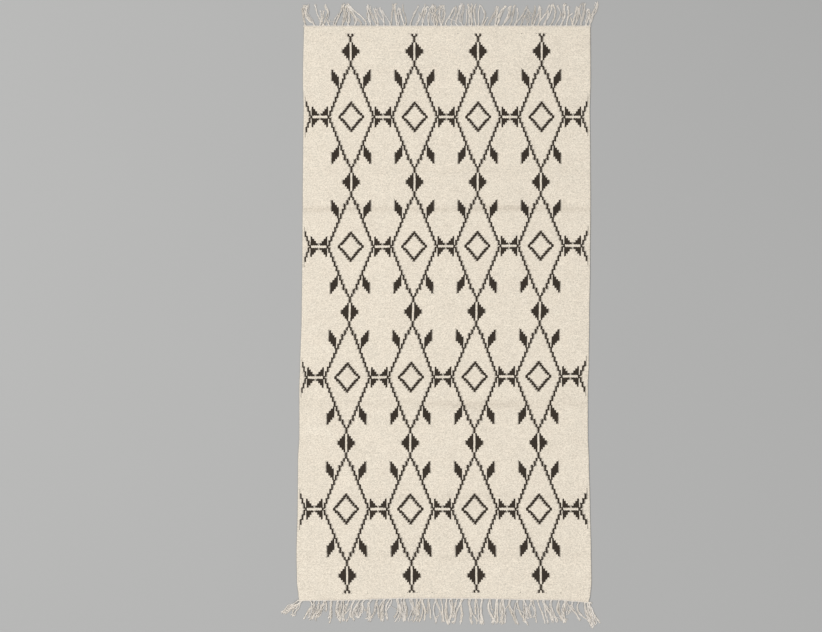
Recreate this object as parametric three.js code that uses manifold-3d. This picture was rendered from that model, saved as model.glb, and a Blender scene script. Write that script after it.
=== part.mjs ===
// A flat-woven cotton dhurrie rug, lying flat, with a knotted fringe along both ends.
// Millimetres. +Z is up and the rug lies on the plane Z = 0, its length along Y.
// The far end is the one at +Y and the near end the one at -Y.
// Three solids: the cloth, and one fringe for each end.

import * as THREE from "three";
import { mergeVertices } from "three/addons/utils/BufferGeometryUtils.js";
import Module from "manifold-3d";

const wasm = await Module();
wasm.setup();

// Cloth: one flat weave with slightly uneven selvedges.
const CLOTH_THICKNESS = 4;
const RIM_ROUNDING = 0.8;
const RIM_STEPS = 2;
const SIDE_STEPS = 40;
const END_STEPS = 32;

// The two selvedges, a row for each place where they change course along the length.
const SELVEDGES = [
  { y: -706, left: -348.5, right: 343.5 },
  { y: -688, left: -352, right: 348.5 },
  { y: -655, left: -355.5, right: 351.5 },
  { y: -590, left: -357, right: 351 },
  { y: -478, left: -354.5, right: 349 },
  { y: -363, left: -354, right: 347 },
  { y: -306, left: -351, right: 345 },
  { y: -190, left: -351.5, right: 345.5 },
  { y: -132, left: -349.5, right: 348 },
  { y: -16, left: -346.5, right: 350 },
  { y: 100, left: -345.5, right: 352.5 },
  { y: 275, left: -345, right: 354.5 },
  { y: 392, left: -344.5, right: 354.5 },
  { y: 480, left: -343.5, right: 354 },
  { y: 568, left: -345.5, right: 356.5 },
  { y: 692, left: -343.5, right: 356.5 },
];

// The near end's last weft, which dips towards both corners.
const NEAR_EDGE = [
  { x: -358, y: -699 },
  { x: -300, y: -698 },
  { x: -225, y: -697.5 },
  { x: -168, y: -695 },
  { x: -108, y: -693 },
  { x: 48, y: -693.5 },
  { x: 95, y: -694 },
  { x: 203, y: -696.5 },
  { x: 275, y: -697 },
  { x: 311, y: -700 },
  { x: 355, y: -704.5 },
];

// The far end's last weft, which is straight.
const FAR_EDGE = [
  { x: -344, y: 692 },
  { x: 357, y: 692 },
];

// Fringe: knotted bundles of warp ends, each bundle splitting into locks.
const TASSELS = 47;
const STRIP_GAP = 0.35;
const STRIP_WIDTH = 2.6;
const STRIP_HEIGHT = 3;

// Sections of the flat-bottomed strands, in half widths aside and in heights.
const ROUNDED_SECTION = [
  { aside: -1, rise: 0 },
  { aside: 1, rise: 0 },
  { aside: 0.55, rise: 1 },
  { aside: -0.55, rise: 1 },
];
const RIDGED_SECTION = [
  { aside: -1, rise: 0 },
  { aside: 1, rise: 0 },
  { aside: 0, rise: 1 },
];

// Each knot, from its root in the strip to its throat.
const KNOT = [
  { out: 1.6, width: 3.4, height: 2.8 },
  { out: 5.5, width: 5.4, height: 4.4 },
  { out: 9, width: 5.2, height: 3.4 },
];

// Each of a knot's three locks, from inside the throat to the tip: its section, and how
// far the two outer locks stand off from the middle one.
const LOCK = [
  { along: 0, aside: 1.7, width: 1.3, height: 2.4 },
  { along: 0.25, aside: 3, width: 2.3, height: 2.8 },
  { along: 0.6, aside: 3, width: 2.2, height: 2.5 },
  { along: 1, aside: 2.2, width: 1.5, height: 1.8 },
];
const LOCK_SIDES = [-1, 0, 1];
const LOCK_START = 8;

// How the tassels lie: the tips of one bunch rest TIP_PITCH apart, and by its throat a
// knot has taken KNOT_LEAN of its tassel's whole lean.
const TIP_PITCH = 8.4;
const KNOT_LEAN = 0.16;

// The most by which a root, a tassel's reach, a lock's length and a bunch's curve stray.
const STRAY = { root: 0.9, reach: 2.5, length: 3, bow: 2.5 };

// Each stray starts its wobble at its own phase, so that they don't move together.
const PHASE = { root: 1, reach: 2, length: 3, bow: 4 };
const WOBBLE_FAST = 2.4;
const WOBBLE_SLOW = 0.9;

// Neighbouring tassels lie together in bunches. A row holds a bunch's first tassel, counted
// from -X, where its tips meet along X and how far past the cloth's edge they reach.
const FAR_BUNCHES = [
  { first: 0, tip: -340, reach: 53 },
  { first: 2, tip: -303, reach: 52 },
  { first: 5, tip: -239, reach: 56 },
  { first: 10, tip: -178, reach: 50 },
  { first: 14, tip: -112, reach: 55 },
  { first: 17, tip: -65, reach: 48 },
  { first: 18, tip: -33, reach: 52 },
  { first: 22, tip: 12, reach: 53 },
  { first: 25, tip: 48, reach: 55 },
  { first: 27, tip: 76, reach: 55 },
  { first: 30, tip: 130, reach: 51 },
  { first: 32, tip: 169, reach: 54 },
  { first: 35, tip: 215, reach: 52 },
  { first: 39, tip: 262, reach: 56 },
  { first: 42, tip: 296, reach: 55 },
  { first: 44, tip: 335, reach: 57 },
  { first: 46, tip: 372, reach: 57 },
];
const NEAR_BUNCHES = [
  { first: 0, tip: -388, reach: 36 },
  { first: 1, tip: -326, reach: 54 },
  { first: 5, tip: -279, reach: 61 },
  { first: 6, tip: -236, reach: 60 },
  { first: 10, tip: -187, reach: 58 },
  { first: 13, tip: -145, reach: 57 },
  { first: 15, tip: -108, reach: 61 },
  { first: 18, tip: -60, reach: 62 },
  { first: 22, tip: 7, reach: 63 },
  { first: 26, tip: 40, reach: 62 },
  { first: 27, tip: 77, reach: 64 },
  { first: 30, tip: 125, reach: 63 },
  { first: 33, tip: 171, reach: 62 },
  { first: 35, tip: 202, reach: 62 },
  { first: 38, tip: 241, reach: 62 },
  { first: 40, tip: 280, reach: 60 },
  { first: 43, tip: 322, reach: 56 },
  { first: 45, tip: 359, reach: 66 },
];

// The two ends. An end runs from its left corner to its right one, its tassels from the
// first root to the last, and out is the way along Y in which they point.
const FAR_END = {
  name: "fringe_far",
  edge: FAR_EDGE,
  left: SELVEDGES.at(-1).left,
  right: SELVEDGES.at(-1).right,
  out: 1,
  firstRoot: -339,
  lastRoot: 353,
  bunches: FAR_BUNCHES,
};
const NEAR_END = {
  name: "fringe_near",
  edge: NEAR_EDGE,
  left: SELVEDGES[0].left,
  right: SELVEDGES[0].right,
  out: -1,
  firstRoot: -346,
  lastRoot: 341,
  bunches: NEAR_BUNCHES,
};

const COTTON = { color: 0xe5d9c7, roughness: 0.95, metalness: 0 };
const FRINGE_COTTON = { color: 0xdccfb9, roughness: 0.95, metalness: 0 };

// Reads a column of a table at any place along its key, easing from each row to the next.
function readTable(rows, key, column, at) {
  let row = 0;
  while (row < rows.length - 2 && at > rows[row + 1][key]) {
    row += 1;
  }
  const low = rows[row];
  const high = rows[row + 1];
  const share = THREE.MathUtils.smoothstep(at, low[key], high[key]);
  return THREE.MathUtils.lerp(low[column], high[column], share);
}

function edgeY(edge, x) {
  return readTable(edge, "x", "y", x);
}

// Evenly spaced numbers from one value to another, both included.
function spaced(from, to, steps) {
  return Array.from({ length: steps + 1 }, (_, step) => from + ((to - from) * step) / steps);
}

// One slab of even thickness with a softened rim, flat on both faces. The outline runs
// along the near end, up the right selvedge, straight across the far end and down the left.
function clothGeometry() {
  const outline = [];
  for (const x of spaced(NEAR_END.left, NEAR_END.right, END_STEPS)) {
    outline.push(new THREE.Vector2(x, edgeY(NEAR_EDGE, x)));
  }
  const farY = edgeY(FAR_EDGE, FAR_END.left);
  const nearRightY = edgeY(NEAR_EDGE, NEAR_END.right);
  for (const y of spaced(nearRightY, farY, SIDE_STEPS).slice(1)) {
    outline.push(new THREE.Vector2(readTable(SELVEDGES, "y", "right", y), y));
  }
  const nearLeftY = edgeY(NEAR_EDGE, NEAR_END.left);
  for (const y of spaced(farY, nearLeftY, SIDE_STEPS).slice(0, -1)) {
    outline.push(new THREE.Vector2(readTable(SELVEDGES, "y", "left", y), y));
  }
  const slab = new THREE.ExtrudeGeometry(new THREE.Shape(outline), {
    depth: CLOTH_THICKNESS - 2 * RIM_ROUNDING,
    bevelEnabled: true,
    bevelThickness: RIM_ROUNDING,
    bevelSize: RIM_ROUNDING,
    bevelOffset: -RIM_ROUNDING,
    bevelSegments: RIM_STEPS,
  });
  slab.translate(0, 0, RIM_ROUNDING);
  return slab;
}

// A flat-bottomed strand along a line on the floor. Each step of the line holds a place
// and the section's width and height there.
function strandGeometry(steps, section) {
  const positions = [];
  const indices = [];
  steps.forEach((step, i) => {
    const before = steps[Math.max(i - 1, 0)].at;
    const after = steps[Math.min(i + 1, steps.length - 1)].at;
    const along = after.clone().sub(before).normalize();
    const aside = new THREE.Vector2(along.y, -along.x);
    for (const corner of section) {
      const point = aside.clone().multiplyScalar((corner.aside * step.width) / 2).add(step.at);
      positions.push(point.x, point.y, corner.rise * step.height);
    }
  });
  const sides = section.length;
  for (let i = 0; i < steps.length - 1; i += 1) {
    for (let k = 0; k < sides; k += 1) {
      const a = i * sides + k;
      const b = i * sides + ((k + 1) % sides);
      indices.push(a, b + sides, b, a, a + sides, b + sides);
    }
  }
  const end = (steps.length - 1) * sides;
  for (let k = 1; k < sides - 1; k += 1) {
    indices.push(0, k, k + 1);
    indices.push(end, end + k + 1, end + k);
  }
  const strand = new THREE.BufferGeometry();
  strand.setAttribute("position", new THREE.Float32BufferAttribute(positions, 3));
  strand.setIndex(indices);
  return strand;
}

function toSolid(geometry) {
  const bare = geometry.clone();
  bare.deleteAttribute("normal");
  bare.deleteAttribute("uv");
  const merged = mergeVertices(bare);
  const mesh = new wasm.Mesh({
    numProp: 3,
    vertProperties: new Float32Array(merged.attributes.position.array),
    triVerts: new Uint32Array(merged.index.array),
  });
  return new wasm.Manifold(mesh);
}

function toGeometry(solid) {
  const mesh = solid.getMesh();
  const geometry = new THREE.BufferGeometry();
  geometry.setAttribute("position", new THREE.BufferAttribute(mesh.vertProperties, 3));
  geometry.setIndex(new THREE.BufferAttribute(mesh.triVerts, 1));
  geometry.computeVertexNormals();
  return geometry;
}

// A repeatable unevenness for the tassel, bunch or lock of that number.
function stray(kind, end, number) {
  const phase = PHASE[kind] * end.out;
  const wobble = Math.sin(number * WOBBLE_FAST + phase) * Math.cos(number * WOBBLE_SLOW + phase);
  return STRAY[kind] * wobble;
}

// Where each tassel of an end is rooted and where it comes to rest.
function tasselPlan(end) {
  const roots = spaced(end.firstRoot, end.lastRoot, TASSELS - 1);
  return roots.map((root, index) => {
    const bunch = end.bunches.findLast((row) => row.first <= index);
    const next = end.bunches.find((row) => row.first > index);
    const size = (next ? next.first : TASSELS) - bunch.first;
    const place = index - bunch.first - (size - 1) / 2;
    return {
      index,
      root: root + stray("root", end, index),
      tip: bunch.tip + place * TIP_PITCH,
      reach: bunch.reach + stray("reach", end, index),
      bow: stray("bow", end, bunch.first),
    };
  });
}

// The narrow strip of bound warp ends, which follows the cloth's edge a little way off.
function stripGeometry(end) {
  const away = end.out * (STRIP_GAP + STRIP_WIDTH / 2);
  const steps = spaced(end.left, end.right, END_STEPS).map((x) => {
    const at = new THREE.Vector2(x, edgeY(end.edge, x) + away);
    return { at, width: STRIP_WIDTH, height: STRIP_HEIGHT };
  });
  return strandGeometry(steps, ROUNDED_SECTION);
}

// A place beside a tassel's root: how far along X from it, and how far out from the cloth.
function besideRoot(end, tassel, along, out) {
  const y = edgeY(end.edge, tassel.root) + end.out * (STRIP_GAP + out);
  return new THREE.Vector2(tassel.root + along, y);
}

// How far a tassel has leant along X where its knot lets its locks go.
function throatLean(tassel) {
  return KNOT_LEAN * (tassel.tip - tassel.root);
}

function knotGeometry(end, tassel) {
  const steps = KNOT.map((row) => {
    const lean = (throatLean(tassel) * row.out) / LOCK_START;
    return { ...row, at: besideRoot(end, tassel, lean, row.out) };
  });
  return strandGeometry(steps, ROUNDED_SECTION);
}

// One lock. Side is -1 or 1 for an outer lock and 0 for the middle one.
function lockGeometry(end, tassel, side) {
  const start = besideRoot(end, tassel, throatLean(tassel), LOCK_START);
  const tip = besideRoot(end, tassel, tassel.tip - tassel.root, tassel.reach);
  const run = tip.clone().sub(start).normalize();
  const aside = new THREE.Vector2(run.y, -run.x).multiplyScalar(end.out);
  const lockNumber = tassel.index * LOCK_SIDES.length + side;
  const length = start.distanceTo(tip) + stray("length", end, lockNumber);
  const steps = LOCK.map((row) => {
    const off = tassel.bow * Math.sin(Math.PI * row.along) + side * row.aside;
    const at = start.clone().addScaledVector(run, length * row.along).addScaledVector(aside, off);
    return { ...row, at };
  });
  return strandGeometry(steps, RIDGED_SECTION);
}

// One end's strip, knots and locks joined into a single solid.
function fringeGeometry(end) {
  let solid = toSolid(stripGeometry(end));
  for (const tassel of tasselPlan(end)) {
    solid = solid.add(toSolid(knotGeometry(end, tassel)));
    for (const side of LOCK_SIDES) {
      solid = solid.add(toSolid(lockGeometry(end, tassel, side)));
    }
  }
  return toGeometry(solid);
}

function namedMesh(name, geometry, finish) {
  const mesh = new THREE.Mesh(geometry, new THREE.MeshStandardMaterial(finish));
  mesh.name = name;
  return mesh;
}

const rug = new THREE.Group();
rug.add(namedMesh("rug_cloth", clothGeometry(), COTTON));
for (const end of [FAR_END, NEAR_END]) {
  rug.add(namedMesh(end.name, fringeGeometry(end), FRINGE_COTTON));
}

// The origin is the centre of the rug's footprint, on the floor.
const footprint = new THREE.Box3().setFromObject(rug);
const centre = footprint.getCenter(new THREE.Vector3());
rug.position.set(-centre.x, -centre.y, 0);

export default rug;
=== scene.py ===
"""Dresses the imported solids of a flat-woven cotton dhurrie: its cloth, its two fringes and a pale stage."""

import math

import bpy
import numpy as np
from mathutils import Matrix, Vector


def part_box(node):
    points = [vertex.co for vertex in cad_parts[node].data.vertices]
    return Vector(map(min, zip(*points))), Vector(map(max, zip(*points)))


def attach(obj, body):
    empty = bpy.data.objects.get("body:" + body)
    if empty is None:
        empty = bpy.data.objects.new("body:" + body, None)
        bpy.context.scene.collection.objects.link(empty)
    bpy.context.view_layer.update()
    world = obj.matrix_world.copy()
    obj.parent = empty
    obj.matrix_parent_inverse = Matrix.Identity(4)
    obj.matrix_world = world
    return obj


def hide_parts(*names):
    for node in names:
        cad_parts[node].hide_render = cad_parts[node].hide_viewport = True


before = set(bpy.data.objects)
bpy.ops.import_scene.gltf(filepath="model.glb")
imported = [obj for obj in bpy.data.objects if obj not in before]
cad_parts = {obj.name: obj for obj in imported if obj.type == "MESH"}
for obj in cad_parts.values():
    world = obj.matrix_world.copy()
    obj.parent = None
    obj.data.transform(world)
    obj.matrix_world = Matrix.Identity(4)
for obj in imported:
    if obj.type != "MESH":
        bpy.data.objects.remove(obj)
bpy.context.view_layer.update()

bl_info = {
    "name": "Dhurrie rug",
    "version": (1, 0, 0),
    "blender": (4, 5, 0),
    "location": "3D View > Sidebar > Dhurrie",
    "description": "Builds a flat-woven cotton rug with a stepped lozenge lattice and tied warp fringes",
    "category": "Object",
}

MM = 0.001

# Outline of the cloth in millimetres. Its own frame has x across and y along, with the far end at y = 692.
# Selvedges: y, left x, right x
SELVEDGES = [
    (-706, -348.5, 343.5),
    (-688, -352, 348.5),
    (-655, -355.5, 351.5),
    (-590, -357, 351),
    (-478, -354.5, 349),
    (-363, -354, 347),
    (-306, -351, 345),
    (-190, -351.5, 345.5),
    (-132, -349.5, 348),
    (-16, -346.5, 350),
    (100, -345.5, 352.5),
    (275, -345, 354.5),
    (392, -344.5, 354.5),
    (480, -343.5, 354),
    (568, -345.5, 356.5),
    (692, -343.5, 356.5),
]
# Edge at the near end: x, y
NEAR_EDGE = [
    (-358, -699),
    (-300, -698),
    (-225, -697.5),
    (-168, -695),
    (-108, -693),
    (48, -693.5),
    (95, -694),
    (203, -696.5),
    (275, -697),
    (311, -700),
    (355, -704.5),
]
FAR_EDGE = [(-344, 692), (357, 692)]

# Chart of the design: one square is two warps wide and four picks tall, counted from the far left corner.
COLUMNS = 155
ROWS = 251
MOTIF_COLUMNS = [26, 60, 94, 128]
MOTIF_ROWS = [40, 97, 154, 211]
COLUMN_REPEAT = 34
ROW_REPEAT = 57
DESIGN_COLUMNS = (1.3, 153.7)
DESIGN_ROWS = (4, 248)
# Shapes in one quarter of a motif, in squares out from its middle: name, first and last row, then for the
# inner and the outer edge (start, step, trim) of floor(start + step * row) + trim, how much of a row the
# inner edge steps early and the outer one late, and how many squares of the selvedge it keeps clear
DESIGN = [
    ("lattice", 0, 18, (12, -0.5, -0.3), (12, -0.5, 0.93), (0.25, 0.25), 0),
    ("lattice knee", 18, 18.5, (3, 0, -0.1), (4, 0, 0.15), (0, 0), 0),
    ("lattice foot", 19, 20.1, (1, 0, 0.3), (2, 0, 0.7), (0, 0), 0),
    ("fork", 20.9, 21.4, (0, 0, 0.5), (1, 0, 0.7), (0, 0), 0),
    ("post", 22.1, 24, (-1, 0, 0.0), (0, 0, 0.65), (0, 0), 0),
    ("bead", 25, 27, (0, 0, 0.5), (-24, 1, 0.6), (0, 0), 0),
    ("bead middle", 28, 28, (0, 0, 0.5), (4, 0, 0.7), (0, 0), 0),
    ("leaf tip", 13, 15, (6, 0, 0.6), (-6, 1, 0.6), (0, 0), 6),
    ("leaf middle", 16, 17, (6, 0, 0.6), (10, 0, 0.7), (0, 0), 6),
    ("leaf stalk", 18, 20.4, (-11, 1, 0.6), (10, 0, 0.7), (0, 0), 6),
    ("small lozenge", 1, 6.2, (5, -1, 0.3), (6, -1, 0.7), (0.3, 0.3), 0),
    ("lozenge corner", 0, 0, (5, 0, 0.6), (7, 0, 0.0), (0, 0), 0),
    ("lozenge shoulder", 1, 1, (4, 0, 0.3), (6, 0, 0.1), (0, 0), 0),
    ("hourglass", 2, 4.2, (12, 0, 0.6), (17, -1, 0.6), (0, 0), 0),
    ("hourglass waist", 1, 1, (12, 0, 0.6), (16, 0, 0.75), (0, 0), 0),
]
# The lattice's last crossings towards the two selvedges
CROSSING_COLUMNS = [4.55, 150.45]
# Where rows of the chart lie on the cloth: row, y by its first motif, y by its last motif, x of the middle of
# the design, spacing of its motifs
ROW_PLACES = [
    (0, 692, 692, 4, 156),
    (4.5, 671.5, 672.5, 4, 156),
    (12, 630.5, 631, 4, 155.5),
    (40.5, 469, 469, 4.5, 154.5),
    (69, 309.5, 310, 3.5, 153.5),
    (97.5, 152, 154.5, 2.5, 153.5),
    (126, -6.5, -4, 0, 153.5),
    (154.5, -165, -162, -5, 154),
    (183, -322.5, -321.5, -6.5, 154.5),
    (211.5, -481, -481, -6, 155),
    (240, -640, -639, -2.5, 155),
    (246.5, -675, -673.5, -2.5, 155),
]
# From the middle of the design to the last crossing by a selvedge
CROSSING_REACH = 330.5
# About how large one square of the chart is
COLUMN_WIDTH = 4.52
ROW_HEIGHT = 5.54
# How high the cloth's face swells and how far its underside lies off the floor and swells
FACE_SWELL = 0.16
UNDER_GAP = 0.06
UNDER_SWELL = 0.05

# Soft fold lines across the cloth: y, depth, half width, slope, then where it is deepest and how wide that
# part is
# The depth of each fold line also sets how much shade is painted into the cloth's colour along it.
CREASES = [
    (338, 0.35, 7, 0.000, 60, 260),
    (245, 1.10, 6, 0.004, 170, 120),
    (243, 1.00, 6, 0.002, -300, 90),
    (-161, 0.35, 9, 0.000, -60, 300),
    (-229, 0.85, 10, -0.004, 70, 150),
    (-452, 0.35, 8, 0.003, 0, 330),
    (-593, 0.35, 8, 0.000, 80, 300),
]

# Pale rubbed patches: x, y, half width, half height, strength
RUBBED = [
    (-318, -291, 26, 9, 0.9),
    (-296, -300, 18, 7, 0.5),
]

# Locks of the far fringe: x at the cloth's edge, then at 15, 30, 45 and 60 mm out, reach, half width, yarns
LOCKS_OUT = (0, 15, 30, 45, 60)
FAR_LOCKS = [
    (-341, -343, -346, -345, -340, 56, 2.6, 4),
    (-318, -327, -337, -337, -341, 55, 3.4, 6),
    (-307, -304, -310, -314.5, -316, 56, 1.2, 3),
    (-305, -302, -301.5, -304, -307, 42, 1.2, 2),
    (-296, -299, -296.5, -298, -299, 43, 1.4, 2),
    (-294, -291, -285, -289, -292, 56, 1.6, 4),
    (-281, -286, -290, -294, -298, 17, 2.5, 3),
    (-268.5, -262.7, -256, -251, -249, 56, 1.0, 3),
    (-270, -269, -261.6, -254, -248, 33, 1.0, 2),
    (-250, -246, -243, -244, -238, 57, 3.0, 4),
    (-236, -235, -236, -237, -234, 57, 4.2, 5),
    (-221, -217, -222, -232, -236, 58, 2.6, 4),
    (-208, -208, -223, -230, -234, 55, 2.0, 3),
    (-195, -194.5, -210, -226, -234, 53, 1.0, 3),
    (-180, -183, -186, -187, -192, 54, 2.6, 5),
    (-166.5, -171, -178, -182, -185, 51, 2.6, 4),
    (-164, -163.5, -168, -172, -178, 46, 1.2, 3),
    (-150.5, -151, -161, -166, -170, 49, 1.2, 3),
    (-148, -148, -151, -157.5, -164, 50, 1.0, 3),
    (-133.5, -137, -147, -155, -162, 41, 0.9, 2),
    (-133, -129.5, -128, -126, -126, 57, 0.9, 3),
    (-116, -117.5, -119.5, -121, -121, 59, 1.6, 4),
    (-115, -112, -113, -109.5, -107, 47, 3.6, 5),
    (-99, -94, -98, -102, -103.5, 56, 0.9, 2),
    (-99, -102, -107, -108.5, -109, 46, 0.9, 3),
    (-84, -80.5, -74, -67, -60, 53, 0.9, 3),
    (-83, -80, -75, -74, -73, 39, 0.8, 2),
    (-69.5, -62, -56, -51, -42, 55, 1.2, 3),
    (-70, -66, -61, -62, -62, 37, 1.2, 2),
    (-54, -52, -48, -44, -36, 53, 2.6, 5),
    (-39.5, -39, -38, -32, -30, 55, 2.6, 5),
    (-25, -26, -28, -27, -24, 57, 3.4, 5),
    (-22, -19.5, -24, -20.5, -17, 50, 2.4, 3),
    (-9, -11, -13, -10, -7, 56, 3.2, 4),
    (-8, -3.5, -1, -2, 4, 55, 2.2, 4),
    (4, 5.5, 15, 22.5, 29, 49, 1.0, 3),
    (20, 18, 25, 28.5, 33, 51, 1.2, 3),
    (34, 28, 33, 36.5, 43, 54, 1.6, 4),
    (47, 40, 42, 44, 46, 58, 2.6, 4),
    (50, 54, 54.5, 54, 53, 46, 0.9, 2),
    (62.5, 61, 62, 59.5, 62, 57, 2.4, 4),
    (63, 67, 64.5, 66, 66, 58, 2.2, 3),
    (77, 75, 73, 73.5, 80, 56, 1.6, 3),
    (79, 84, 82.5, 85.5, 88, 56, 0.9, 2),
    (92.5, 95, 98.5, 93, 86, 54, 1.2, 3),
    (94, 101, 109, 115, 120, 24, 0.9, 2),
    (108, 112.5, 121, 127, 136, 52, 1.8, 4),
    (124, 125.5, 128.5, 130, 134, 52, 2.6, 4),
    (126, 133, 137, 145, 157, 52, 1.6, 4),
    (141, 151, 158, 160, 167, 55, 2.0, 5),
    (156, 165, 168, 170.5, 174, 55, 1.8, 4),
    (170, 176, 179.5, 177, 172, 48, 1.2, 3),
    (171, 181, 192, 200, 205, 52, 1.1, 3),
    (186, 191, 196, 200, 204, 31, 1.4, 3),
    (201.5, 203, 203, 205.5, 207, 45, 3.6, 3),
    (216, 222, 228, 233, 237, 50, 1.8, 4),
    (215, 214.5, 219, 222, 223, 54, 2.2, 2),
    (227.5, 233, 235, 233.5, 234, 54, 1.2, 3),
    (229, 235, 246, 254, 259, 56, 1.0, 3),
    (243, 248, 257.5, 262, 264, 56, 1.1, 3),
    (244, 249, 253, 256, 258, 40, 0.9, 2),
    (257, 266, 271, 270, 262, 57, 1.9, 4),
    (271, 278, 284, 280, 277, 55, 1.2, 3),
    (283, 290, 294.5, 293, 298, 59, 1.4, 4),
    (284, 289, 289, 290.5, 291, 55, 0.8, 2),
    (297, 301, 303.5, 303.5, 304, 52, 1.3, 4),
    (299, 300, 309, 325, 340, 36, 0.8, 2),
    (314.5, 315.5, 320, 323, 322, 52, 1.3, 3),
    (313, 310.5, 307, 303, 300, 23, 1.2, 2),
    (316, 323.5, 326.5, 328.5, 330, 46, 2.2, 4),
    (332, 336, 341, 342, 344, 61, 2.2, 5),
    (333, 334, 331.5, 331, 336, 58, 0.9, 2),
    (346, 349, 352.5, 350, 347, 45, 2.8, 5),
    (354, 358, 363.5, 371, 373, 62, 2.6, 6),
]
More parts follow.
